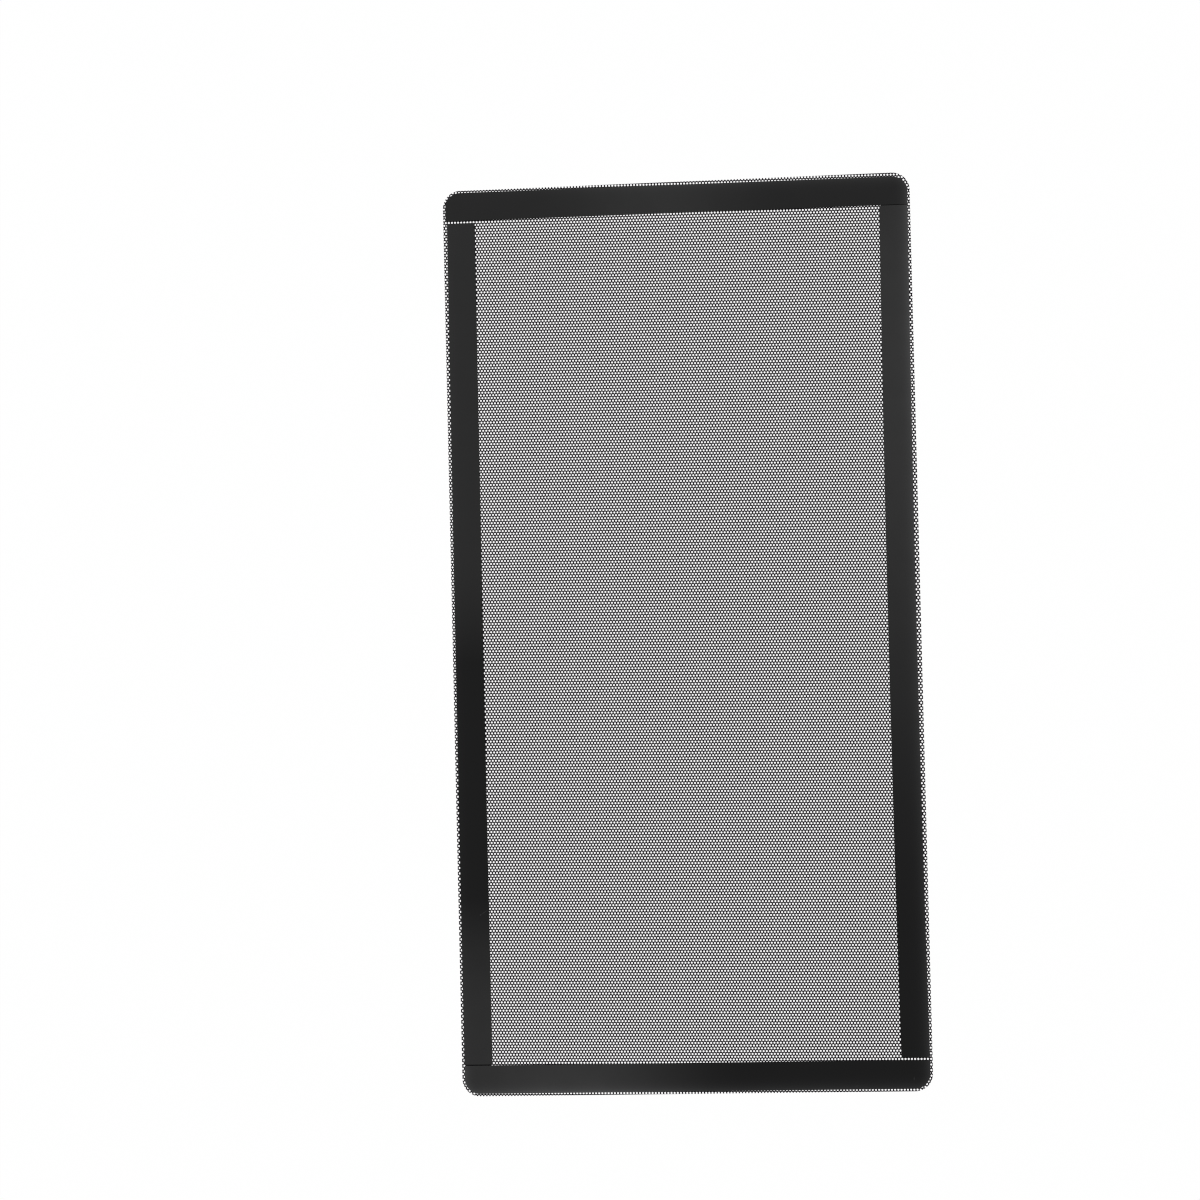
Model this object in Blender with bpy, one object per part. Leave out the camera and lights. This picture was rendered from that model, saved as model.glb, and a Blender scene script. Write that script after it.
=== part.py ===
"""Fan dust filter: a thin perforated sheet with four flexible magnet strips stuck round its edge.

Run it with blender --background --python part.py, or from Blender's text editor.

Lengths are in metres. The filter lies flat on its sheet with the strips on top. The origin is the
middle of the sheet's underside, +X runs across the width, +Y along the length and +Z is up.
"""

import math

import bmesh
import bpy

MM = 0.001

# The perforated sheet, cut for two 120 mm fans side by side
SHEET_WIDTH = 122.0 * MM
SHEET_LENGTH = 236.0 * MM
SHEET_THICKNESS = 0.4 * MM
SHEET_CORNER_RADIUS = 4.6 * MM

# The magnet strips and the film of glue under them
STRIP_WIDTH = 7.3 * MM
STRIP_THICKNESS = 0.7 * MM
STRIP_EDGE_BEVEL = 0.1 * MM
GLUE_THICKNESS = 0.1 * MM

# The bare border of sheet outside each strip, at the corners
BORDER_LEFT = 0.75 * MM
BORDER_RIGHT = 0.6 * MM
BORDER_TOP = 1.1 * MM
BORDER_BOTTOM = 0.7 * MM

# The strips are laid by hand. The right strip bows inwards at its middle, the left strip's upper end
# bends inwards, and the top strip's left end lies nearer the sheet's edge than its right end.
RIGHT_BOW = 0.52 * MM
LEFT_LEAN = 0.35 * MM
TOP_TILT = 0.45 * MM

# The seams where the side strips stop short of the top and bottom strips
SEAM_TOP_LEFT = 0.65 * MM
SEAM_TOP_RIGHT = 0.1 * MM
SEAM_BOTTOM_LEFT = 0.25 * MM
SEAM_BOTTOM_RIGHT = 0.6 * MM

# The openings inside the strips. The real holes are about 0.5 mm across and number tens of
# thousands. These keep their shape and their staggered rows, and leave a little over a third of the
# window open, as the real ones do.
OPENING_PITCH = 14.7 * MM
OPENING_ACROSS_FLATS = 9.4 * MM
OPENING_TO_STRIP = 2.0 * MM

# How finely a rounded corner and a side strip's long edge are divided
CORNER_STEPS = 10
EDGE_STEPS = 12

# Where things come to rest, worked out from the sizes above
SHEET_LEFT = -SHEET_WIDTH / 2
SHEET_RIGHT = SHEET_WIDTH / 2
SHEET_BOTTOM = -SHEET_LENGTH / 2
SHEET_TOP = SHEET_LENGTH / 2
WINDOW_LEFT = SHEET_LEFT + BORDER_LEFT + LEFT_LEAN + STRIP_WIDTH
WINDOW_RIGHT = SHEET_RIGHT - BORDER_RIGHT - RIGHT_BOW - STRIP_WIDTH
WINDOW_BOTTOM = SHEET_BOTTOM + BORDER_BOTTOM + STRIP_WIDTH
WINDOW_TOP = SHEET_TOP - BORDER_TOP - STRIP_WIDTH
STRIP_BASE = SHEET_THICKNESS + GLUE_THICKNESS


def clear_scene():
    for obj in list(bpy.data.objects):
        bpy.data.objects.remove(obj, do_unlink=True)


def make_material(name, colour, roughness):
    material = bpy.data.materials.new(name)
    material.use_nodes = True
    shader = material.node_tree.nodes["Principled BSDF"]
    shader.inputs["Base Color"].default_value = (*colour, 1.0)
    shader.inputs["Roughness"].default_value = roughness
    shader.inputs["Metallic"].default_value = 0.0
    return material


def corner(centre_x, centre_y, radius_x, radius_y, start):
    """The points of a quarter ellipse round a centre, anticlockwise from the angle start."""
    points = []
    for step in range(CORNER_STEPS + 1):
        angle = start + step / CORNER_STEPS * math.pi / 2
        x = centre_x + radius_x * math.cos(angle)
        y = centre_y + radius_y * math.sin(angle)
        points.append((x, y))
    return points


def sheet_corner(side_x, side_y, border_x, border_y):
    """A corner with the centre of the sheet's own corner, set in from it by the two borders.

    side_x and side_y are -1 or 1 and say which of the four corners it is.
    """
    start = {(1, 1): 0.0, (-1, 1): 0.5, (-1, -1): 1.0, (1, -1): 1.5}[side_x, side_y] * math.pi
    return corner(
        side_x * (SHEET_RIGHT - SHEET_CORNER_RADIUS),
        side_y * (SHEET_TOP - SHEET_CORNER_RADIUS),
        SHEET_CORNER_RADIUS - border_x,
        SHEET_CORNER_RADIUS - border_y,
        start,
    )


def hexagon(centre_x, centre_y, across_flats):
    """A hexagon with two flats facing left and right and a point at the top."""
    radius = across_flats / 2 / math.cos(math.pi / 6)
    points = []
    for step in range(6):
        angle = (step + 0.5) * math.pi / 3
        points.append((centre_x + radius * math.cos(angle), centre_y + radius * math.sin(angle)))
    return points


def centred_row(count, spacing, middle):
    """Places along a line: count of them, spacing apart, with their middle at middle."""
    return [middle + (place - (count - 1) / 2) * spacing for place in range(count)]


def openings():
    """The hexagons of the window, in rows that alternate between n and n - 1, as punched."""
    row_spacing = OPENING_PITCH * math.sin(math.pi / 3)
    across_points = OPENING_ACROSS_FLATS / math.cos(math.pi / 6)
    room_x = WINDOW_RIGHT - WINDOW_LEFT - 2 * OPENING_TO_STRIP - OPENING_ACROSS_FLATS
    room_y = WINDOW_TOP - WINDOW_BOTTOM - 2 * OPENING_TO_STRIP - across_points
    columns = int(room_x / OPENING_PITCH) + 1
    rows = int(room_y / row_spacing) + 1
    middle_x = (WINDOW_LEFT + WINDOW_RIGHT) / 2
    middle_y = (WINDOW_BOTTOM + WINDOW_TOP) / 2
    found = []
    for row, y in enumerate(centred_row(rows, row_spacing, middle_y)):
        for x in centred_row(columns - row % 2, OPENING_PITCH, middle_x):
            found.append(hexagon(x, y, OPENING_ACROSS_FLATS))
    return found


def add_loop(curve, points):
    spline = curve.splines.new("POLY")
    spline.points.add(len(points) - 1)
    for place, (x, y) in zip(spline.points, points):
        place.co = (x, y, 0.0, 1.0)
    spline.use_cyclic_u = True


def make_filter_mesh(material, parent):
    """The sheet: a flat curve with the outline and the openings as its loops, given a thickness."""
    outline = (
        sheet_corner(1, 1, 0.0, 0.0)
        + sheet_corner(-1, 1, 0.0, 0.0)
        + sheet_corner(-1, -1, 0.0, 0.0)
        + sheet_corner(1, -1, 0.0, 0.0)
    )
    curve = bpy.data.curves.new("filter_mesh", "CURVE")
    curve.dimensions = "2D"
    curve.fill_mode = "BOTH"
    curve.extrude = SHEET_THICKNESS / 2
    for points in [outline] + openings():
        add_loop(curve, points)
    curve.materials.append(material)
    sheet = bpy.data.objects.new("filter_mesh", curve)
    sheet.location.z = SHEET_THICKNESS / 2
    sheet.parent = parent
    bpy.context.collection.objects.link(sheet)


def make_strip(name, outline, material, parent):
    """A strip: its outline raised to its thickness, with its cut edges slightly broken."""
    shape = bmesh.new()
    flat = shape.faces.new([shape.verts.new((x, y, 0.0)) for x, y in outline])
    raised = bmesh.ops.extrude_face_region(shape, geom=[flat])
    top = [item for item in raised["geom"] if isinstance(item, bmesh.types.BMVert)]
    bmesh.ops.translate(shape, vec=(0.0, 0.0, STRIP_THICKNESS), verts=top)
    bmesh.ops.recalc_face_normals(shape, faces=shape.faces)
    mesh = bpy.data.meshes.new(name)
    shape.to_mesh(mesh)
    shape.free()
    mesh.materials.append(material)
    mesh.shade_smooth()
    mesh.set_sharp_from_angle(angle=math.radians(35))
    strip = bpy.data.objects.new(name, mesh)
    strip.location.z = STRIP_BASE
    strip.parent = parent
    bpy.context.collection.objects.link(strip)
    bevel = strip.modifiers.new("cut_edges", "BEVEL")
    bevel.width = STRIP_EDGE_BEVEL
    bevel.segments = 2
    bevel.limit_method = "ANGLE"
    bevel.angle_limit = math.radians(35)


def top_strip_lower_edge(x):
    """The height of the top strip's lower edge at x: WINDOW_TOP at the right, and more to the left."""
    left = SHEET_LEFT + BORDER_LEFT
    right = SHEET_RIGHT - BORDER_RIGHT
    return WINDOW_TOP + TOP_TILT * (right - x) / (right - left)


def make_end_strips(material, parent):
    """The two full-width strips, whose outer corners follow the sheet's."""
    left = SHEET_LEFT + BORDER_LEFT
    right = SHEET_RIGHT - BORDER_RIGHT
    top_outline = (
        sheet_corner(1, 1, BORDER_RIGHT, BORDER_TOP)
        + sheet_corner(-1, 1, BORDER_LEFT, BORDER_TOP - TOP_TILT)
        + [(left, top_strip_lower_edge(left)), (right, top_strip_lower_edge(right))]
    )
    bottom_outline = (
        sheet_corner(-1, -1, BORDER_LEFT, BORDER_BOTTOM)
        + sheet_corner(1, -1, BORDER_RIGHT, BORDER_BOTTOM)
        + [(right, WINDOW_BOTTOM), (left, WINDOW_BOTTOM)]
    )
    make_strip("magnet_strip_top", top_outline, material, parent)
    make_strip("magnet_strip_bottom", bottom_outline, material, parent)


def long_edge(foot, lean, bow, seam_bottom, seam_top):
    """Points up a side strip's long edge, which starts at x = foot.

    lean carries it to the right, by the square of the way up, and bow bends its middle to the left as a
    parabola. It stops a seam short of the end strips.
    """
    low = WINDOW_BOTTOM + seam_bottom
    high = top_strip_lower_edge(foot + lean) - seam_top
    points = []
    for step in range(EDGE_STEPS + 1):
        share = step / EDGE_STEPS
        x = foot + lean * share ** 2 - 4.0 * bow * share * (1.0 - share)
        points.append((x, low + (high - low) * share))
    return points


def make_side_strips(material, parent):
    """The two strips that lie between the end strips."""
    sides = {
        "magnet_strip_left": (SHEET_LEFT + BORDER_LEFT, LEFT_LEAN, 0.0, SEAM_BOTTOM_LEFT, SEAM_TOP_LEFT),
        "magnet_strip_right": (
            SHEET_RIGHT - BORDER_RIGHT - STRIP_WIDTH, 0.0, RIGHT_BOW, SEAM_BOTTOM_RIGHT, SEAM_TOP_RIGHT
        ),
    }
    for name, (foot, lean, bow, seam_bottom, seam_top) in sides.items():
        right_edge = long_edge(foot + STRIP_WIDTH, lean, bow, seam_bottom, seam_top)
        left_edge = long_edge(foot, lean, bow, seam_bottom, seam_top)
        make_strip(name, right_edge + left_edge[::-1], material, parent)


def main():
    clear_scene()
    pvc = make_material("black_pvc", (0.012, 0.012, 0.013), 0.5)
    rubber = make_material("magnet_rubber", (0.022, 0.022, 0.023), 0.6)
    dust_filter = bpy.data.objects.new("dust_filter", None)
    bpy.context.collection.objects.link(dust_filter)
    make_filter_mesh(pvc, dust_filter)
    make_end_strips(rubber, dust_filter)
    make_side_strips(rubber, dust_filter)


main()
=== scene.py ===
"""The looks of the fan dust filter: its perforated sheet, its four magnet strips and a plain studio.

The file is laid out as an add-on and is run as a script. Lengths are in metres, in the frame of the
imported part: the origin is the middle of the sheet's underside, +X runs across the width, +Y along the
length and +Z is up.
"""

import math
from collections import namedtuple

import bpy
import numpy as np
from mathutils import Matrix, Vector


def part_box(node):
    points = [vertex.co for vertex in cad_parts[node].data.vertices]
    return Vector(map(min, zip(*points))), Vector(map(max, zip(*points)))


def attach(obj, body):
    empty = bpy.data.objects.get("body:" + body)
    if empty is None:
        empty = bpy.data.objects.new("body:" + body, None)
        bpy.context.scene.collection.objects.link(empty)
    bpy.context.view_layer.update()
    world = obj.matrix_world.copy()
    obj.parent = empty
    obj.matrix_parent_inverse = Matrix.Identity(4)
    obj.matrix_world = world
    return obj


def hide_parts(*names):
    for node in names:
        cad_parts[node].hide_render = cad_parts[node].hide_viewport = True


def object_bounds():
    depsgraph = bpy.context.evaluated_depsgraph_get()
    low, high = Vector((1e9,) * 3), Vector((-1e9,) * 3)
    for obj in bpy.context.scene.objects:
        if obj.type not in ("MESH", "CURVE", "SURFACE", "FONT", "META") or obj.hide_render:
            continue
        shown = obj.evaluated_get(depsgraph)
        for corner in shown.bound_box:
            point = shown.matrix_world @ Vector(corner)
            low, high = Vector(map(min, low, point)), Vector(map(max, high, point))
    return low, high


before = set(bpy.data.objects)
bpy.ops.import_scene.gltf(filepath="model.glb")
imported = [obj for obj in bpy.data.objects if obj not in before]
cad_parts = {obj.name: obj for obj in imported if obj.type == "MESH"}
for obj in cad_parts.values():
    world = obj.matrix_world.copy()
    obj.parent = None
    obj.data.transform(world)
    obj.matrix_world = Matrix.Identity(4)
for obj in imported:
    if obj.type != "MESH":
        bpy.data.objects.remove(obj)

bl_info = {
    "name": "Fan dust filter",
    "version": (1, 0, 0),
    "blender": (4, 5, 0),
    "location": "View3D > Sidebar > Dust filter",
    "description": "Builds the perforated sheet, the magnet strips and the studio of a fan dust filter",
    "category": "Add Mesh",
}

MM = 0.001
BODY = "root"
SHEET_NODE = "filter_mesh"
STRIP_SIDES = ("top", "bottom", "left", "right")

CAD_LOW, CAD_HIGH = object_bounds()
SHEET_LOW, SHEET_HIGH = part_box(SHEET_NODE)
THICKNESS = SHEET_HIGH.z - SHEET_LOW.z

# How closely the points at the foot of a strip's walls agree in height, and from what angle its edges
# are sharp
SAME_HEIGHT = 0.01 * MM
SHARP_EDGE = math.radians(40.0)

# The side strips that have one end pressed against a top or bottom strip, and whether that is their
# lower or their upper end. The glue pressed out there fills the holes under the seam.
PRESSED_ENDS = {"left": -1, "right": 1}

# How far the pressed glue reaches past the end of its strip, and how far inside a strip's outline the
# middle of a hole lies for the strip to close it, both in pitches
PRESSED_REACH = 2.0
CLOSED_DEPTH = 0.5

# Columns and rows beyond the sheet's box, for what its trimmed edge still touches, and how many of those
# columns lie past the last one
SPARE_COLUMNS = 6
SPARE_ROWS = 3
COLUMNS_PAST = 1

# The most that an upright face's normal rises or falls, and the least that a top face's normal rises
UPRIGHT = 0.1
LOOKS_UP = 0.5

# The three bars that meet at the upper corner of a hole lead up, right and left. Each leads to the lower
# corner of another hole, some rows further up.
BARS = ("up", "right", "left")
ROWS_UP = {"up": 2, "right": 1, "left": 1}

# A junction of three bars has points 0, 1 and 2 on the top, each towards one of the three holes round it,
# and point 3 on the crest below. These are the points on a bar's two sides, at its near and its far end.
RIGHT_SIDE = {"up": (1, 2), "right": (0, 1), "left": (2, 0)}
LEFT_SIDE = {"up": (2, 1), "right": (1, 0), "left": (0, 2)}
CREST = 3
POINTS_EACH = 4

# The edge of a junction's top that each bar leaves from, as two of its points
BAR_EDGE = {"right": (0, 1), "up": (1, 2), "left": (2, 0)}

# How a material looks: its roughness and how far the mottling moves that either way, its specular level,
# how far the mottling moves its tone either way, and the scales of its grain and mottling, per metre
Look = namedtuple("Look", "roughness roughness_swing specular tone_swing grain_scale mottle_scale")
PVC = Look(0.45, 0.09, 0.1, 0.3, 9000.0, 60.0)
RUBBER = Look(0.58, 0.08, 0.1, 0.14, 3500.0, 140.0)
SHEEN_ROUGHNESS = 0.4

# How many finer layers the noise of the grain and of the mottling has
GRAIN_DETAIL = 3.0
MOTTLE_DETAIL = 4.0

# The rounded rectangle of the strips' outer edge, along which the highlight is painted: how far inside
# the solids' box, and its corner radius
RIM_INSET = 0.8 * MM
RIM_CORNER = 3.8 * MM

# How a strip's surface changes along it: the axis it follows, the middle and the reach of the wave of its
# sheen, the wave's value on the low side, at the middle and on the high side, and how strong the painted
# highlight along the outer edge is at the axis's low and high end. There is no sheen where the wave is
# negative.
Surface = namedtuple("Surface", "axis middle reach below at_middle above rubbed_low rubbed_high")
SURFACES = {
    "top": Surface("X", -5.0 * MM, 35.0 * MM, 0.16, 0.34, 0.13, 0.0, 1.0),
    "bottom": Surface("X", -32.0 * MM, 45.0 * MM, 0.24, 0.52, 0.0, 1.0, 1.0),
    "left": Surface("Y", -38.0 * MM, 64.0 * MM, 0.34, -0.25, 0.24, 0.2, 0.2),
    "right": Surface("Y", 67.0 * MM, 150.0 * MM, 0.0, 0.46, -0.1, 1.0, 1.0),
}

# The scratches: the place of each one's middle, its turn from the X axis, its length and its width
Scratch = namedtuple("Scratch", "x y turn length width")
SCRATCHES = {
    "bottom": (
        Scratch(56.2 * MM, -114.7 * MM, math.radians(88.0), 1.2 * MM, 0.24 * MM),
        Scratch(41.5 * MM, -116.4 * MM, math.radians(4.0), 1.1 * MM, 0.16 * MM),
    ),
    "left": (
        Scratch(-55.15 * MM, -71.0 * MM, math.radians(10.0), 0.5 * MM, 0.4 * MM),
        Scratch(-54.2 * MM, -70.4 * MM, math.radians(35.0), 2.6 * MM, 0.16 * MM),
    ),
}

# The nearest and furthest that the camera sees, and the width of its pixel filter, in pixels
NEAR = 0.01
FAR = 100.0
PIXEL_FILTER = 1.2


class DustFilterSheet(bpy.types.PropertyGroup):
    """Sizes of the perforated sheet."""

    pitch: bpy.props.FloatProperty(
        name="Pitch", description="From the centre of one hole to the next in its row",
        default=0.8178 * MM, unit="LENGTH", precision=5,
    )
    web: bpy.props.FloatProperty(
        name="Web", description="Width of the material between two holes",
        default=0.3345 * MM, unit="LENGTH", precision=5,
    )
    row_gap: bpy.props.FloatProperty(
        name="Row Gap", description="From the centre line of one row to the next",
        default=0.71068 * MM, unit="LENGTH", precision=6,
    )
    first_row: bpy.props.FloatProperty(
        name="First Row", description="Height of the lowest row's centre line at the middle of the width",
        default=SHEET_LOW.y + 0.235 * MM, unit="LENGTH", precision=5,
    )
    last_column: bpy.props.FloatProperty(
        name="Last Column", description="Place of the last hole's centre in the lowest row",
        default=SHEET_HIGH.x - 0.36 * MM, unit="LENGTH", precision=5,
    )
    swell: bpy.props.FloatProperty(
        name="Swell", description="How much higher than evenly spaced the rows lie halfway up the sheet",
        default=0.19 * MM, unit="LENGTH", precision=5,
    )
    lean: bpy.props.FloatProperty(
        name="Lean", description="How far the columns lean to the left",
        default=math.radians(0.084), subtype="ANGLE",
    )
    slope_bottom: bpy.props.FloatProperty(
        name="Slope at the Bottom", description="How far the lowest rows drop to the right",
        default=math.radians(0.53), subtype="ANGLE",
    )
    slope_top: bpy.props.FloatProperty(
        name="Slope at the Top", description="How far the highest rows drop to the right",
        default=math.radians(0.71), subtype="ANGLE",
    )
    corner_radius: bpy.props.FloatProperty(
        name="Corner Radius", description="Radius of the sheet's four corners",
        default=4.6 * MM, unit="LENGTH", precision=5,
    )
    corner_steps: bpy.props.IntProperty(
        name="Corner Steps", description="How finely each rounded corner is divided",
        default=24, min=4,
    )
    blind_depth: bpy.props.FloatProperty(
        name="Blind Depth", description="Depth, from below, of the holes that a strip covers",
        default=0.3 * MM, unit="LENGTH", precision=5,
    )
    bands: bpy.props.IntProperty(
        name="Bands", description="How many pieces the sheet is divided into along its length",
        default=6, min=1,
    )


class DustFilterStrips(bpy.types.PropertyGroup):
    """Sizes of the magnet strips."""

    glue_inset: bpy.props.FloatProperty(
        name="Glue Inset", description="How far the film of glue stops short of the strip's edge",
        default=0.07 * MM, unit="LENGTH", precision=5,
    )
    edge_radius: bpy.props.FloatProperty(
        name="Edge Radius", description="Rounding of the strip's cut edges",
        default=0.08 * MM, unit="LENGTH", precision=5,
    )
    edge_steps: bpy.props.IntProperty(
        name="Edge Steps", description="Points over each rounded edge",
        default=5, min=2,
    )


class DustFilterFinish(bpy.types.PropertyGroup):
    """Colours and textures, and the painted highlight along the strips' outer edge."""

    pvc_colour: bpy.props.FloatVectorProperty(
        name="PVC", description="Colour of the perforated sheet",
        default=(0.0072, 0.0048, 0.0078), subtype="COLOR", precision=4,
    )
    # The strips' own colour, which the painted highlight lightens along their outer edge.
    rubber_colour: bpy.props.FloatVectorProperty(
        name="Magnet Rubber", description="Colour of the strips where nothing has rubbed them",
        default=(0.0035, 0.0035, 0.0036), subtype="COLOR", precision=4,
    )
    # The painted highlight along the strips' outer edge: how much lighter it paints their colour, how much
    # more for each unit of sheen, and how far in from the edge it fades.
    highlight_strength: bpy.props.FloatProperty(
        name="Edge Highlight", description="How much lighter the strips are along their outer edge",
        default=5.5, min=0.0,
    )
    highlight_per_sheen: bpy.props.FloatProperty(
        name="Highlight per Sheen", description="How much lighter still that edge is, for each unit of sheen",
        default=9.0, min=0.0,
    )
    highlight_reach: bpy.props.FloatProperty(
        name="Highlight Reach", description="How far in from the outer edge the rubbing fades",
        default=1.0 * MM, unit="LENGTH", precision=5,
    )
    scratch: bpy.props.FloatProperty(
        name="Scratch", description="How much lighter the strips are in a scratch",
        default=10.0, min=0.0,
    )
    rubber_grain: bpy.props.FloatProperty(
        name="Rubber Grain", description="Height of the fine grain in the magnet rubber",
        default=0.006 * MM, unit="LENGTH", precision=6,
    )
    pvc_grain: bpy.props.FloatProperty(
        name="PVC Grain", description="Height of the fine grain in the sheet",
        default=0.002 * MM, unit="LENGTH", precision=6,
    )


class DustFilterStudio(bpy.types.PropertyGroup):
    """The camera, the floor and the lights."""

    lens: bpy.props.FloatProperty(
        name="Lens", description="Focal length of the camera, in millimetres",
        default=120.0, min=10.0,
    )
    camera_place: bpy.props.FloatVectorProperty(
        name="Camera Place", description="Where the camera stands, above the filter",
        default=(0.11805, -0.02528, 1.02809), subtype="XYZ", unit="LENGTH", precision=5,
    )
    camera_turn: bpy.props.FloatVectorProperty(
        name="Camera Turn", description="How the camera is turned from looking straight down",
        default=(math.radians(1.760), math.radians(7.803), math.radians(-1.372)), subtype="EULER",
    )
    floor_size: bpy.props.FloatProperty(
        name="Floor Size", description="Length of each side of the floor",
        default=8.0, unit="LENGTH",
    )
    floor_drop: bpy.props.FloatProperty(
        name="Floor Drop", description="How far the floor lies below the sheet",
        default=0.02 * MM, unit="LENGTH", precision=5,
    )
    floor_glow: bpy.props.FloatProperty(
        name="Floor Glow", description="Share of the floor's white that no shadow darkens",
        default=0.98, min=0.0, max=1.0, subtype="FACTOR",
    )
    sky: bpy.props.FloatProperty(
        name="Sky", description="Brightness of the even light from all round",
        default=0.42, min=0.0,
    )
    floor_white: bpy.props.FloatProperty(
        name="Floor White", description="Share of the light that the floor reflects",
        default=0.95, min=0.0, max=1.0, subtype="FACTOR",
    )
    lamp_size: bpy.props.FloatProperty(
        name="Lamp Size", description="Length of each side of the two lamps",
        default=1.6, unit="LENGTH",
    )
    key_place: bpy.props.FloatVectorProperty(
        name="Key Place", description="Where the large lamp to the left stands",
        default=(-1.3, 0.9, 1.3), subtype="XYZ", unit="LENGTH",
    )
    fill_place: bpy.props.FloatVectorProperty(
        name="Fill Place", description="Where the large lamp to the right stands",
        default=(1.4, -0.2, 1.1), subtype="XYZ", unit="LENGTH",
    )
    key_power: bpy.props.FloatProperty(
        name="Key Power", description="Power of the large lamp to the left, in watts",
        default=22.0, min=0.0,
    )
    fill_power: bpy.props.FloatProperty(
        name="Fill Power", description="Power of the large lamp to the right, in watts",
        default=12.0, min=0.0,
    )


def put_mesh(name, points, polygons):
    """A mesh of points, an array of places, and polygons, a list of arrays with a row for each face.

    Points that no face uses are dropped.
    """
    corners = np.concatenate([faces.ravel() for faces in polygons])
    sizes = np.concatenate([np.full(len(faces), faces.shape[1]) for faces in polygons])
    used, corners = np.unique(corners, return_inverse=True)
    mesh = bpy.data.meshes.new(name)
    mesh.vertices.add(len(used))
    mesh.vertices.foreach_set("co", points[used].astype(np.float32).ravel())
    mesh.loops.add(len(corners))
    mesh.loops.foreach_set("vertex_index", corners.astype(np.int32).ravel())
    mesh.polygons.add(len(sizes))
    mesh.polygons.foreach_set("loop_start", (np.cumsum(sizes) - sizes).astype(np.int32))
    mesh.update(calc_edges=True)
    return mesh


def put_object(name, data):
    """Adds an object with its mesh, lamp or camera to the scene."""
    obj = bpy.data.objects.new(name, data)
    bpy.context.scene.collection.objects.link(obj)
    return obj


def hole_centres(column, row, sheet):
    """The centres of the holes with these column and row numbers, from the last column and first row.

    Every other row is half a pitch over. The swell lifts the rows by a parabola that is nothing at the
    sheet's bottom and top. Each row drops to the right by its own slope, which changes evenly from the
    bottom to the top, and the columns lean to the left.
    """
    row_height = sheet.first_row + sheet.row_gap * row
    share = (row_height - SHEET_LOW.y) / (SHEET_HIGH.y - SHEET_LOW.y)
    row_height = row_height + sheet.swell * 4.0 * share * (1.0 - share)
    slope = sheet.slope_bottom + (sheet.slope_top - sheet.slope_bottom) * share
    x = sheet.last_column + sheet.pitch * (column - 0.5 * (row % 2))
    x = x - np.tan(sheet.lean) * (row_height - SHEET_LOW.y)
    y = row_height - np.tan(slope) * x
    return x, y


def junctions(x, y, upwards, sheet):
    """The four points of the junction at the upper or lower corner of each hole centred at x and y.

    The junction is a pitch over root three from the centre. Three points lie round it on the top, web
    over root three away and a third of a turn apart, the first of them towards the centre. The fourth
    is the crest at the bottom, right below it.
    """
    way = 1.0 if upwards else -1.0
    middle = y + way * sheet.pitch / math.sqrt(3.0)
    turns = np.radians((270.0, 30.0, 150.0))
    reach = way * sheet.web / math.sqrt(3.0)
    points = np.empty((*x.shape, POINTS_EACH, 3))
    points[..., 0] = x[..., None]
    points[..., 1] = middle[..., None]
    points[..., :CREST, 0] += reach * np.cos(turns)
    points[..., :CREST, 1] += reach * np.sin(turns)
    points[..., :CREST, 2] = SHEET_HIGH.z
    points[..., CREST, 2] = SHEET_LOW.z
    return points


def strip_outline(side):
    """A strip's outline, anticlockwise, from the upright walls of its solid.

    The walls' lower ends are the highest points below half the strip's height. They are put in order by
    their angle round their middle.
    """
    mesh = bpy.data.objects["magnet_strip_" + side].data
    places = np.empty(len(mesh.vertices) * 3)
    mesh.vertices.foreach_get("co", places)
    places = places.reshape(-1, 3)
    heights = places[:, 2]
    lower = heights[heights < (heights.min() + heights.max()) / 2]
    level = np.abs(heights - lower.max()) < SAME_HEIGHT
    outline = np.unique(places[level, :2], axis=0)
    middle = (outline.min(axis=0) + outline.max(axis=0)) / 2
    angle = np.arctan2(outline[:, 1] - middle[1], outline[:, 0] - middle[0])
    return outline[np.argsort(angle)]


def moved_in(outline, distance):
    """An outline moved inwards: each point goes along the sum of its two edges' normals, by as much as
    moves both edges by the distance.
    """
    before, after = outward_normals(outline)
    share = 1.0 + np.sum(before * after, axis=1, keepdims=True)
    return outline - distance * (before + after) / share


def outward_normals(outline):
    """For each point of an outline, the outward normals of the edges before and after it."""
    edges = np.roll(outline, -1, axis=0) - outline
    after = np.stack((edges[:, 1], -edges[:, 0]), axis=1)
    after /= np.linalg.norm(after, axis=1, keepdims=True)
    return np.roll(after, 1, axis=0), after


def glued_outline(side, sheet):
    """A strip's outline, with its pressed end, if it has one, carried on under the next strip."""
    outline = strip_outline(side)
    if side in PRESSED_ENDS:
        way = PRESSED_ENDS[side]
        reach = way * outline[:, 1]
        outline[reach > reach.max() - THICKNESS, 1] += way * PRESSED_REACH * sheet.pitch
    return outline


def deep_inside(x, y, outline, least):
    """Whether each place lies inside an outline, and further than least from its nearest edge.

    The outline winds once round each place inside it: one more edge passes up on the right of it than
    passes down.
    """
    winding = np.zeros(x.shape, int)
    distance = np.full(x.shape, np.inf)
    for (start_x, start_y), (end_x, end_y) in zip(outline, np.roll(outline, -1, axis=0)):
        way_x, way_y = end_x - start_x, end_y - start_y
        past_x, past_y = x - start_x, y - start_y
        share = np.clip((past_x * way_x + past_y * way_y) / (way_x ** 2 + way_y ** 2), 0.0, 1.0)
        distance = np.minimum(distance, np.hypot(past_x - share * way_x, past_y - share * way_y))
        on_left = way_x * past_y > past_x * way_y
        winding += (start_y <= y) & (y < end_y) & on_left
        winding -= (end_y <= y) & (y < start_y) & ~on_left
    return (winding > 0) & (distance > least)


def covered_by_strips(x, y, sheet):
    """Whether a strip or its glue closes each hole, because it lies deep enough inside the outline."""
    covered = np.zeros(x.shape, bool)
    for side in STRIP_SIDES:
        covered |= deep_inside(x, y, glued_outline(side, sheet), CLOSED_DEPTH * sheet.pitch)
    return covered


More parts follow.
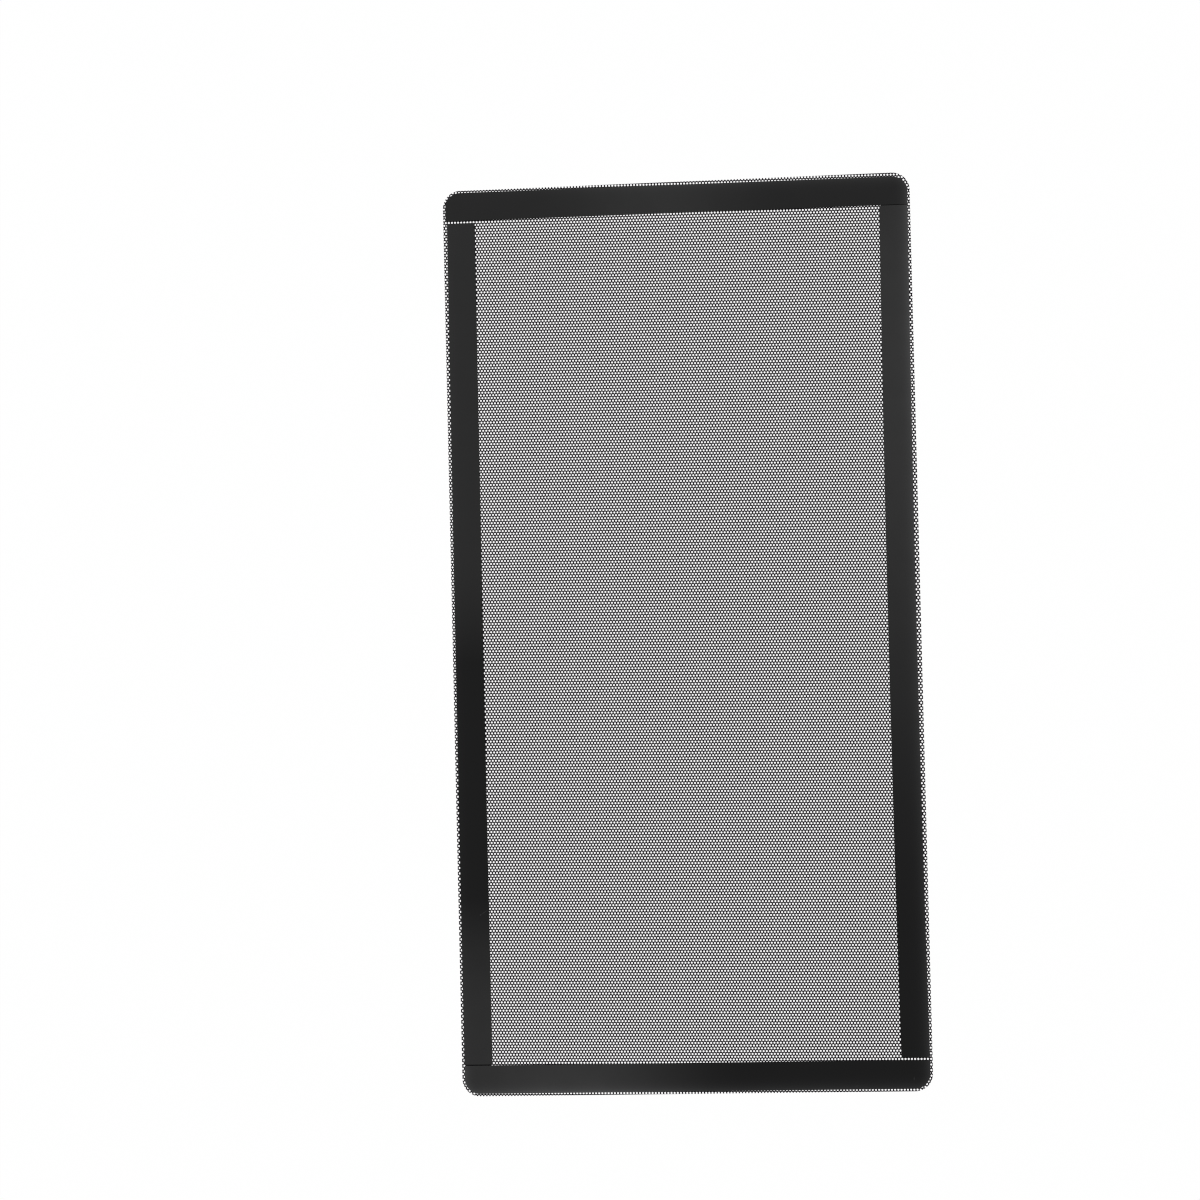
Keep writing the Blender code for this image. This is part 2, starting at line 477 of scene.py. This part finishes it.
def band_junctions(x, y, sheet):
    """The junctions at the upper and lower corners of holes, and whether each is in or near the sheet."""
    points = np.stack((junctions(x, y, True, sheet), junctions(x, y, False, sheet)))
    near_x = np.abs(points[..., CREST, 0]) < SHEET_HIGH.x + sheet.pitch
    near_y = np.abs(points[..., CREST, 1]) < SHEET_HIGH.y + sheet.pitch
    return points, near_x & near_y


def far_holes(bar, row, column, step, inside):
    """The row and column of the hole that each bar leads to, and whether the bar is there."""
    far_row = row + ROWS_UP[bar]
    far_column = {"up": column, "right": column + step, "left": column + step - 1}[bar]
    columns = inside.shape[2]
    there = (far_column >= 0) & (far_column < columns)
    far_column = np.clip(far_column, 0, columns - 1)
    there &= inside[0, row, column] & inside[1, far_row, far_column]
    return far_row, far_column, there


def band_faces(rows, columns, first_row, sheet):
    """The points and faces of a band of the sheet: a closed net of bars round rows of holes.

    A bar has a flat top as wide as the web and two sides that slope in to a crest at the bottom. Bars
    meet three at a time at flat triangles. The band holds the junctions at the upper corners of its
    rows of holes and at the lower corners of the rows one further up. A bar that leaves the band is
    closed by a triangle, and so is the place where a bar of the band below arrives.
    """
    row, column = np.mgrid[0:rows + 2, 0:columns]
    last = columns - 1 - COLUMNS_PAST
    centre_x, centre_y = hole_centres(column - last, row + first_row, sheet)
    points, inside = band_junctions(centre_x, centre_y, sheet)
    upper, lower = np.arange(points[..., 0].size).reshape(points.shape[:-1])
    # By how much the number of a hole's column grows on the way to the hole at its upper right
    step = 1 - (row + first_row) % 2
    blind = covered_by_strips(centre_x, centre_y, sheet)
    blind[0] = False
    blind[rows:] = False

    own = (row[:rows], column[:rows], step[:rows])
    polygons = []
    upper_has = {}
    lower_has = {}
    for bar in BARS:
        far_row, far_column, there = far_holes(bar, *own, inside)
        upper_has[bar] = there
        lower_has[bar] = np.zeros(blind.shape, bool)
        lower_has[bar][far_row[there], far_column[there]] = True
        far = lower[far_row[there], far_column[there]]
        polygons += bar_faces(upper[:rows][there], far, bar, *beside(bar, there, *own, blind))
        polygons.append(end_caps(far[far_row[there] > rows], bar))

    polygons += junction_faces(upper[:rows], upper_has)
    lower_has = {bar: has[:rows + 1] for bar, has in lower_has.items()}
    polygons += junction_faces(lower[:rows + 1], lower_has)
    pits, pit_faces = blind_holes(upper, lower, row, column, step, blind, centre_x, centre_y, sheet)
    polygons += pit_faces
    return np.concatenate((points.reshape(-1, 3), pits)), polygons


def beside(bar, there, row, column, step, blind):
    """Whether the holes on a bar's right and left are blind, for each bar that is there."""
    next_column = np.clip(column + step, 0, blind.shape[1] - 1)
    last_column = np.clip(column + step - 1, 0, blind.shape[1] - 1)
    own = blind[row, column][there]
    next_up = blind[row + 1, next_column][there]
    last_up = blind[row + 1, last_column][there]
    return {"up": (next_up, last_up), "right": (own, next_up), "left": (last_up, own)}[bar]


def bar_faces(near, far, bar, right_blind, left_blind):
    """The flat top of each bar, and the sloping sides that face holes that aren't blind."""
    near_right, far_right = RIGHT_SIDE[bar]
    near_left, far_left = LEFT_SIDE[bar]
    top = np.stack((near[:, near_right], far[:, far_right], far[:, far_left], near[:, near_left]), axis=1)
    right = np.stack((near[:, near_right], near[:, CREST], far[:, CREST], far[:, far_right]), axis=1)
    left = np.stack((near[:, near_left], far[:, far_left], far[:, CREST], near[:, CREST]), axis=1)
    return [top, right[~right_blind], left[~left_blind]]


def end_caps(far, bar):
    """The triangles that close the far ends of bars that leave the band."""
    far_right = RIGHT_SIDE[bar][1]
    far_left = LEFT_SIDE[bar][1]
    return np.stack((far[:, far_left], far[:, far_right], far[:, CREST]), axis=1)


def junction_faces(corner, has):
    """The flat triangle on each junction with a bar, and the triangles that close it where it lacks one."""
    used = has["up"] | has["right"] | has["left"]
    faces = [corner[used][:, :CREST]]
    for bar in BARS:
        first, second = BAR_EDGE[bar]
        bare = corner[used & ~has[bar]]
        faces.append(np.stack((bare[:, second], bare[:, first], bare[:, CREST]), axis=1))
    return faces


def blind_holes(upper, lower, row, column, step, blind, centre_x, centre_y, sheet):
    """The holes under the strips, closed level with the top and open below as six-sided pits."""
    row = row[blind]
    column = column[blind]
    step = step[blind]
    # The six junctions round each hole, anticlockwise from the top, each with its point towards the hole
    ring = (
        (upper[row, column], 0),
        (lower[row + 1, column + step - 1], 2),
        (upper[row - 1, column + step - 1], 1),
        (lower[row, column], 0),
        (upper[row - 1, column + step], 2),
        (lower[row + 1, column + step], 1),
    )
    caps = np.stack([corner[:, place] for corner, place in ring], axis=1)
    crests = np.stack([corner[:, CREST] for corner, place in ring], axis=1)
    tips = upper.size + lower.size + np.arange(len(row))
    next_crests = np.roll(crests, -1, axis=1)
    pits = np.stack((np.repeat(tips, len(ring)), next_crests.ravel(), crests.ravel()), axis=1)
    depth = np.full(len(row), SHEET_LOW.z + sheet.blind_depth)
    return np.stack((centre_x[blind], centre_y[blind], depth), axis=1), [caps, pits]


def strip_profile(low, high, strips):
    """A strip's section as pairs of inset and height: the film of glue, then the cut edge and the top.

    Each rounded edge is a quarter circle whose inset and height follow one minus the cosine and the sine.
    """
    turn = np.linspace(0.0, math.pi / 2, strips.edge_steps)
    rounding = strips.edge_radius * (1.0 - np.cos(turn))
    rise = strips.edge_radius * np.sin(turn)
    section = [(strips.glue_inset, SHEET_HIGH.z), (strips.glue_inset, low)]
    section += list(zip(rounding[::-1], low + strips.edge_radius - rise[::-1]))
    section += list(zip(rounding, high - strips.edge_radius + rise))
    return section


def strip_mesh(side, strips):
    """A strip: its section carried round its outline, with a flat face on the top and one below."""
    low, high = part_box("magnet_strip_" + side)
    outline = strip_outline(side)
    rings = []
    for inset, height in strip_profile(low.z, high.z, strips):
        ring = moved_in(outline, inset)
        rings.append(np.column_stack((ring, np.full(len(ring), height))))
    points = np.concatenate(rings)
    count = len(outline)
    number = np.arange(len(points)).reshape(len(rings), count)
    after = np.roll(number, -1, axis=1)
    walls = np.stack((number[:-1], after[:-1], after[1:], number[1:]), axis=-1).reshape(-1, 4)
    top = number[-1:]
    base = number[:1, ::-1]
    mesh = put_mesh("rubber_strip_" + side, points, [walls, top, base])
    mesh.set_sharp_from_angle(angle=SHARP_EDGE)
    smooth = np.zeros(len(mesh.polygons), bool)
    smooth[:len(walls)] = True
    mesh.polygons.foreach_set("use_smooth", smooth)
    return mesh


def sheet_outline(sheet):
    """The sheet's outline, anticlockwise: quarter circles round centres set in by the corner radius."""
    quarter = np.linspace(0.0, math.pi / 2, sheet.corner_steps + 1)
    reach = np.array((SHEET_HIGH.x, SHEET_HIGH.y)) - sheet.corner_radius
    corners = []
    for turns, sides in enumerate(((1, 1), (-1, 1), (-1, -1), (1, -1))):
        angle = quarter + turns * math.pi / 2
        arc = np.stack((np.cos(angle), np.sin(angle)), axis=1)
        corners.append(reach * sides + sheet.corner_radius * arc)
    return np.concatenate(corners)


def outline_prism(sheet):
    """A block with the sheet's outline, taller than the sheet, that trims the bands to shape."""
    outline = sheet_outline(sheet)
    below = np.column_stack((outline, np.full(len(outline), SHEET_LOW.z - THICKNESS)))
    above = np.column_stack((outline, np.full(len(outline), SHEET_HIGH.z + THICKNESS)))
    number = np.arange(2 * len(outline)).reshape(2, -1)
    after = np.roll(number, -1, axis=1)
    walls = np.stack((number[0], after[0], after[1], number[1]), axis=1)
    mesh = put_mesh("sheet_outline", np.concatenate((below, above)), [walls, number[1:], number[:1, ::-1]])
    prism = put_object("sheet_outline", mesh)
    prism.hide_render = True
    prism.display_type = "WIRE"
    return prism


def trimmed(band, prism):
    """The band with all of it that lies outside the prism cut off."""
    cut = band.modifiers.new("outline", "BOOLEAN")
    cut.operation = "INTERSECT"
    cut.solver = "MANIFOLD"
    cut.object = prism
    graph = bpy.context.evaluated_depsgraph_get()
    mesh = bpy.data.meshes.new_from_object(band.evaluated_get(graph))
    if len(mesh.polygons) == 0:
        raise RuntimeError(f"{band.name} was cut away by the outline")
    band.modifiers.clear()
    band.data = mesh
    mesh.name = band.name
    mesh.shade_flat()


def spread_flat(mesh):
    """A map for baking: the top of the band in one half, and what faces down or outwards in the other.

    Each place goes where it lies seen from above. Upright faces have no width there, so each of their
    points moves out along the face's normal by its depth below the top.
    """
    places = np.empty(len(mesh.vertices) * 3, np.float32)
    mesh.vertices.foreach_get("co", places)
    corners = np.empty(len(mesh.loops), np.int32)
    mesh.loops.foreach_get("vertex_index", corners)
    normals = np.empty(len(mesh.polygons) * 3, np.float32)
    mesh.polygons.foreach_get("normal", normals)
    sizes = np.empty(len(mesh.polygons), np.int32)
    mesh.polygons.foreach_get("loop_total", sizes)
    place = places.reshape(-1, 3)[corners]
    normal = np.repeat(normals.reshape(-1, 3), sizes, axis=0)
    upright = np.abs(normal[:, 2]) < UPRIGHT
    depth = np.where(upright, SHEET_HIGH.z - place[:, 2], 0.0)
    flat = place[:, :2] + normal[:, :2] * depth[:, None]
    flat -= flat.min(axis=0)
    reach = flat.max(axis=0)
    gap = THICKNESS
    scale = 1.0 / max(reach[0], 2.0 * reach[1] + gap)
    flat[:, 1] += np.where(normal[:, 2] > LOOKS_UP, 0.0, reach[1] + gap)
    layer = mesh.uv_layers.new(name="OFBake")
    layer.uv.foreach_set("vector", (flat * scale).astype(np.float32).ravel())


def node(tree, kind, sockets=None, **settings):
    """Adds a node. sockets gives each input a value, or another node's output to read."""
    made = tree.nodes.new(kind)
    for name, value in settings.items():
        setattr(made, name, value)
    for key, value in (sockets or {}).items():
        if isinstance(value, bpy.types.NodeSocket):
            tree.links.new(value, made.inputs[key])
        else:
            made.inputs[key].default_value = value
    return made


def math_node(tree, operation, *values, clamp=False):
    made = node(tree, "ShaderNodeMath", dict(enumerate(values)), operation=operation, use_clamp=clamp)
    return made.outputs[0]


def laid_out(tree, value, low, high, start=0.0, end=1.0):
    """A value between start and end, laid out between low and high."""
    made = node(tree, "ShaderNodeMapRange", {
        "Value": value, "From Min": start, "From Max": end, "To Min": low, "To Max": high,
    })
    return made.outputs["Result"]


def new_group(name, inputs, outputs):
    """A shader node group that takes and gives numbers, what it is given, and what it gives out."""
    tree = bpy.data.node_groups.new(name, "ShaderNodeTree")
    for way, labels in (("INPUT", inputs), ("OUTPUT", outputs)):
        for label in labels:
            tree.interface.new_socket(label, in_out=way, socket_type="NodeSocketFloat")
    return tree, tree.nodes.new("NodeGroupInput").outputs, tree.nodes.new("NodeGroupOutput").inputs


def place_group(tree, name, **values):
    """Places a node group in a material. Each value goes to the input that its name stands for."""
    sockets = {key.replace("_", " ").title(): value for key, value in values.items()}
    return node(tree, "ShaderNodeGroup", sockets, node_tree=bpy.data.node_groups[name]).outputs


def make_grain_group():
    """Grain and mottling: noise at two scales. Height is the grain and Mottle the slow change of tone."""
    tree, given, out = new_group("grain", ("Grain Scale", "Mottle Scale"), ("Height", "Mottle"))
    place = node(tree, "ShaderNodeTexCoord").outputs["Object"]
    for result, scale, detail in (
        ("Height", "Grain Scale", GRAIN_DETAIL),
        ("Mottle", "Mottle Scale", MOTTLE_DETAIL),
    ):
        noise = node(tree, "ShaderNodeTexNoise", {"Vector": place, "Scale": given[scale], "Detail": detail})
        tree.links.new(noise.outputs["Fac"], out[result])


def make_painted_highlight_group():
    """A painted highlight along the outer edge: one at the rounded outline, falling off inwards over a set
    reach.

    The depth inside the outline is that of a rounded rectangle, and the highlight is the exponential
    of minus the depth over the reach.
    minus the depth over the reach.
    """
    sizes = ("Half Width", "Half Length", "Corner Radius", "Reach")
    tree, given, out = new_group("painted_edge_highlight", sizes, ("Lightening",))
    place = node(tree, "ShaderNodeTexCoord").outputs["Object"]
    split = node(tree, "ShaderNodeSeparateXYZ", {"Vector": place})
    beyond = []
    for axis, half in (("X", "Half Width"), ("Y", "Half Length")):
        straight = math_node(tree, "SUBTRACT", given[half], given["Corner Radius"])
        from_middle = math_node(tree, "ABSOLUTE", split.outputs[axis])
        beyond.append(math_node(tree, "SUBTRACT", from_middle, straight))
    outer = [math_node(tree, "MAXIMUM", value, 0.0) for value in beyond]
    squares = [math_node(tree, "MULTIPLY", value, value) for value in outer]
    hypotenuse = math_node(tree, "SQRT", math_node(tree, "ADD", *squares))
    inner = math_node(tree, "MINIMUM", math_node(tree, "MAXIMUM", *beyond), 0.0)
    past = math_node(tree, "SUBTRACT", math_node(tree, "ADD", hypotenuse, inner), given["Corner Radius"])
    edge_lightening = math_node(tree, "EXPONENT", math_node(tree, "DIVIDE", past, given["Reach"]))
    tree.links.new(math_node(tree, "MINIMUM", edge_lightening, 1.0), out["Lightening"])


def make_sheen_group():
    """The slow change of sheen along a strip: half a cosine wave on either side of its middle.

    Along is the place along the strip. The wave is At Middle at the middle, and past the reach it is
    Below on the low side and Above on the high side. Where the wave is negative there is no sheen.
    """
    values = ("Along", "Middle", "Reach", "Below", "At Middle", "Above")
    tree, given, out = new_group("sheen", values, ("Sheen",))
    past = math_node(tree, "SUBTRACT", given["Along"], given["Middle"])
    share = math_node(tree, "DIVIDE", math_node(tree, "ABSOLUTE", past), given["Reach"], clamp=True)
    wave = math_node(tree, "COSINE", math_node(tree, "MULTIPLY", share, math.pi))
    on_high_side = math_node(tree, "GREATER_THAN", past, 0.0)
    away = laid_out(tree, on_high_side, given["Below"], given["Above"])
    sheen = laid_out(tree, wave, away, given["At Middle"], start=-1.0)
    tree.links.new(math_node(tree, "MAXIMUM", sheen, 0.0), out["Sheen"])


def make_scratch_group():
    """A hairline mark: one at its middle, and falling off evenly to nothing at its ends and sides."""
    sizes = ("Middle X", "Middle Y", "Turn", "Length", "Width")
    tree, given, out = new_group("scratch", sizes, ("Mark",))
    place = node(tree, "ShaderNodeTexCoord").outputs["Object"]
    middle = node(tree, "ShaderNodeCombineXYZ", {"X": given["Middle X"], "Y": given["Middle Y"]})
    moved = node(tree, "ShaderNodeVectorMath", {0: place, 1: middle.outputs[0]}, operation="SUBTRACT")
    turned = node(
        tree, "ShaderNodeVectorRotate", {"Vector": moved.outputs[0], "Angle": given["Turn"]},
        rotation_type="Z_AXIS", invert=True,
    )
    split = node(tree, "ShaderNodeSeparateXYZ", {"Vector": turned.outputs[0]})
    shares = []
    for axis, size in (("X", "Length"), ("Y", "Width")):
        half = math_node(tree, "MULTIPLY", given[size], 0.5)
        gone = math_node(tree, "DIVIDE", math_node(tree, "ABSOLUTE", split.outputs[axis]), half)
        shares.append(math_node(tree, "SUBTRACT", 1.0, gone, clamp=True))
    tree.links.new(math_node(tree, "MULTIPLY", *shares), out["Mark"])


def mottled(tree, mottle, middle, swing):
    """A value that the mottling moves by the swing either way."""
    return laid_out(tree, mottle, middle - swing, middle + swing)


def new_material(name, look, grain_height):
    """A material with its grain and mottling, its shader, and the factor that mottles its tone."""
    material = bpy.data.materials.new(name)
    material.use_nodes = True
    tree = material.node_tree
    shader = tree.nodes["Principled BSDF"]
    shader.inputs["Metallic"].default_value = 0.0
    shader.inputs["Roughness"].default_value = look.roughness
    shader.inputs["Specular IOR Level"].default_value = look.specular
    grain = place_group(tree, "grain", grain_scale=look.grain_scale, mottle_scale=look.mottle_scale)
    roughness = mottled(tree, grain["Mottle"], look.roughness, look.roughness_swing)
    tree.links.new(roughness, shader.inputs["Roughness"])
    bump = node(tree, "ShaderNodeBump", {"Height": grain["Height"], "Distance": grain_height})
    tree.links.new(bump.outputs["Normal"], shader.inputs["Normal"])
    return material, shader, mottled(tree, grain["Mottle"], 1.0, look.tone_swing)


def set_colour(tree, shader, colour, factor):
    """Gives a shader a colour made lighter or darker by a factor."""
    sockets = {"Vector": tuple(colour), "Scale": factor}
    scaled = node(tree, "ShaderNodeVectorMath", sockets, operation="SCALE")
    tree.links.new(scaled.outputs["Vector"], shader.inputs["Base Color"])


def pvc_material(finish):
    """Black PVC with a faint uneven bloom and a very fine grain."""
    material, shader, uneven = new_material("black_pvc", PVC, finish.pvc_grain)
    set_colour(material.node_tree, shader, finish.pvc_colour, uneven)
    return material


def rubber_material(side, finish):
    """Ferrite-filled rubber: smooth, with a sheen that comes and goes.

    Its colour is lightened along the outer edge by a painted highlight.
    """
    material, shader, uneven = new_material("magnet_rubber_" + side, RUBBER, finish.rubber_grain)
    shader.inputs["Coat Roughness"].default_value = SHEEN_ROUGHNESS
    tree = material.node_tree
    rim = place_group(
        tree, "painted_edge_highlight", half_width=CAD_HIGH.x - RIM_INSET, half_length=CAD_HIGH.y - RIM_INSET,
        corner_radius=RIM_CORNER, reach=finish.highlight_reach,
    )
    surface = SURFACES[side]
    place = node(tree, "ShaderNodeTexCoord").outputs["Object"]
    along = node(tree, "ShaderNodeSeparateXYZ", {"Vector": place}).outputs[surface.axis]
    sheen = place_group(
        tree, "sheen", along=along, middle=surface.middle, reach=surface.reach,
        below=surface.below, at_middle=surface.at_middle, above=surface.above,
    )["Sheen"]
    # How strong the painted highlight along the outer edge is, from the strip's low end to its high end
    end = CAD_HIGH.x if surface.axis == "X" else CAD_HIGH.y
    highlight_share = laid_out(tree, along, surface.rubbed_low, surface.rubbed_high, start=-end, end=end)
    tree.links.new(math_node(tree, "MULTIPLY", sheen, uneven), shader.inputs["Coat Weight"])
    # The painted highlight: the colour is lightened along the outer edge, by more where the sheen is strong
    lift = math_node(tree, "MULTIPLY_ADD", sheen, finish.highlight_per_sheen, finish.highlight_strength)
    edge_lightening = math_node(tree, "MULTIPLY", rim["Lightening"], highlight_share)
    tone = math_node(tree, "MULTIPLY_ADD", edge_lightening, lift, 1.0)
    for scratch in SCRATCHES.get(side, ()):
        mark = place_group(
            tree, "scratch", middle_x=scratch.x, middle_y=scratch.y, turn=scratch.turn,
            length=scratch.length, width=scratch.width,
        )["Mark"]
        tone = math_node(tree, "MULTIPLY_ADD", mark, finish.scratch, tone)
    set_colour(tree, shader, finish.rubber_colour, math_node(tree, "MULTIPLY", tone, uneven))
    return material


def white_for_camera(tree, shader, glow):
    """Mixes a shader with plain white for the rays that see the background."""
    path = node(tree, "ShaderNodeLightPath").outputs
    seen = math_node(tree, "MAXIMUM", path["Is Camera Ray"], path["Is Glossy Ray"])
    seen = math_node(tree, "MAXIMUM", seen, path["Is Transmission Ray"])
    white = node(tree, "ShaderNodeEmission", {"Color": (1.0, 1.0, 1.0, 1.0), "Strength": 1.0})
    share = math_node(tree, "MULTIPLY", seen, glow)
    mixed = node(tree, "ShaderNodeMixShader", {0: share, 1: shader, 2: white.outputs[0]})
    return mixed.outputs[0]


def make_floor(studio):
    half = studio.floor_size / 2
    height = SHEET_LOW.z - studio.floor_drop
    x, y = np.meshgrid((-half, half), (-half, half))
    points = np.stack((x, y, np.full_like(x, height)), axis=-1).reshape(-1, 3)
    floor = put_object("floor", put_mesh("floor", points, [np.array([[0, 1, 3, 2]])]))
    material = bpy.data.materials.new("pale_floor")
    material.use_nodes = True
    tree = material.node_tree
    tree.nodes.clear()
    white = studio.floor_white
    paper = node(tree, "ShaderNodeBsdfDiffuse", {"Color": (white, white, white, 1.0)}).outputs[0]
    end = tree.nodes.new("ShaderNodeOutputMaterial")
    tree.links.new(white_for_camera(tree, paper, studio.floor_glow), end.inputs["Surface"])
    floor.data.materials.append(material)


def make_world(studio):
    world = bpy.data.worlds.new("studio")
    world.use_nodes = True
    tree = world.node_tree
    tree.nodes.clear()
    sky = node(tree, "ShaderNodeBackground", {"Color": (1.0, 1.0, 1.0, 1.0), "Strength": studio.sky})
    end = tree.nodes.new("ShaderNodeOutputWorld")
    tree.links.new(white_for_camera(tree, sky.outputs[0], 1.0), end.inputs["Surface"])
    bpy.context.scene.world = world


def make_lamp(name, place, size, power):
    """A large square lamp that faces the middle of the filter."""
    data = bpy.data.lights.new(name, "AREA")
    data.shape = "SQUARE"
    data.size = size
    data.energy = power
    lamp = put_object(name, data)
    lamp.location = place
    lamp.rotation_euler = (-lamp.location).to_track_quat("-Z", "Y").to_euler()


def make_camera(studio):
    data = bpy.data.cameras.new("camera")
    data.lens = studio.lens
    data.clip_start = NEAR
    data.clip_end = FAR
    camera = put_object("camera", data)
    camera.location = studio.camera_place
    camera.rotation_euler = studio.camera_turn
    bpy.context.scene.camera = camera


class DUSTFILTER_OT_sheet(bpy.types.Operator):
    """Build the perforated sheet in bands"""

    bl_idname = "dust_filter.sheet"
    bl_label = "Perforated Sheet"

    def execute(self, context):
        sheet = context.scene.dust_filter_sheet
        material = pvc_material(context.scene.dust_filter_finish)
        prism = outline_prism(sheet)
        columns = int((SHEET_HIGH.x - SHEET_LOW.x) / sheet.pitch) + SPARE_COLUMNS
        slack = int(math.tan(sheet.slope_top) * SHEET_HIGH.x / sheet.row_gap) + SPARE_ROWS
        rows = int((SHEET_HIGH.y - SHEET_LOW.y) / sheet.row_gap) + 2 * slack
        edges = np.linspace(0, rows, sheet.bands + 1).astype(int)
        for number, (first, last) in enumerate(zip(edges[:-1], edges[1:]), start=1):
            name = f"perforated_sheet_{number}"
            points, polygons = band_faces(last - first, columns, first - slack, sheet)
            band = put_object(name, put_mesh(name, points, polygons))
            band.data.materials.append(material)
            trimmed(band, prism)
            spread_flat(band.data)
            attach(band, BODY)
            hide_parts(SHEET_NODE)
        bpy.data.objects.remove(prism)
        return {"FINISHED"}


class DUSTFILTER_OT_strips(bpy.types.Operator):
    """Build the four magnet strips with the film of glue under them"""

    bl_idname = "dust_filter.strips"
    bl_label = "Magnet Strips"

    def execute(self, context):
        strips = context.scene.dust_filter_strips
        finish = context.scene.dust_filter_finish
        for side in STRIP_SIDES:
            strip = put_object("rubber_strip_" + side, strip_mesh(side, strips))
            strip.data.materials.append(rubber_material(side, finish))
            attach(strip, BODY)
            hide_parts("magnet_strip_" + side)
        return {"FINISHED"}


class DUSTFILTER_OT_studio(bpy.types.Operator):
    """Set up the floor, the light and the camera"""

    bl_idname = "dust_filter.studio"
    bl_label = "Studio"

    def execute(self, context):
        studio = context.scene.dust_filter_studio
        make_floor(studio)
        make_world(studio)
        make_lamp("key_lamp", studio.key_place, studio.lamp_size, studio.key_power)
        make_lamp("fill_lamp", studio.fill_place, studio.lamp_size, studio.fill_power)
        make_camera(studio)
        context.scene.view_settings.view_transform = "Standard"
        # The holes are less than three pixels apart. The noise removal takes its guides as they are,
        # because smoothed ones wipe the holes out, and the pixel filter is as crisp as a photograph.
        context.scene.cycles.denoising_prefilter = "NONE"
        context.scene.cycles.filter_width = PIXEL_FILTER
        return {"FINISHED"}


class DUSTFILTER_PT_panel(bpy.types.Panel):
    """Lists what the file builds, with its sizes"""

    bl_idname = "DUSTFILTER_PT_panel"
    bl_label = "Dust filter"
    bl_space_type = "VIEW_3D"
    bl_region_type = "UI"
    bl_category = "Dust filter"

    def draw(self, context):
        steps = {
            "dust_filter.sheet": context.scene.dust_filter_sheet,
            "dust_filter.strips": context.scene.dust_filter_strips,
            "dust_filter.studio": context.scene.dust_filter_studio,
        }
        for operator, values in steps.items():
            box = self.layout.box()
            for name in values.__annotations__:
                box.prop(values, name)
            box.operator(operator)
        finish = context.scene.dust_filter_finish
        for name in finish.__annotations__:
            self.layout.prop(finish, name)


SETTINGS = {
    "dust_filter_sheet": DustFilterSheet,
    "dust_filter_strips": DustFilterStrips,
    "dust_filter_finish": DustFilterFinish,
    "dust_filter_studio": DustFilterStudio,
}
OPERATORS = (DUSTFILTER_OT_sheet, DUSTFILTER_OT_strips, DUSTFILTER_OT_studio)


def register():
    for name, settings in SETTINGS.items():
        bpy.utils.register_class(settings)
        setattr(bpy.types.Scene, name, bpy.props.PointerProperty(type=settings))
    for operator in OPERATORS:
        bpy.utils.register_class(operator)
    bpy.utils.register_class(DUSTFILTER_PT_panel)


def unregister():
    bpy.utils.unregister_class(DUSTFILTER_PT_panel)
    for operator in OPERATORS:
        bpy.utils.unregister_class(operator)
    for name, settings in SETTINGS.items():
        delattr(bpy.types.Scene, name)
        bpy.utils.unregister_class(settings)


def main():
    register()
    make_grain_group()
    make_painted_highlight_group()
    make_sheen_group()
    make_scratch_group()
    bpy.ops.dust_filter.sheet()
    bpy.ops.dust_filter.strips()
    bpy.ops.dust_filter.studio()


if __name__ == "__main__":
    main()
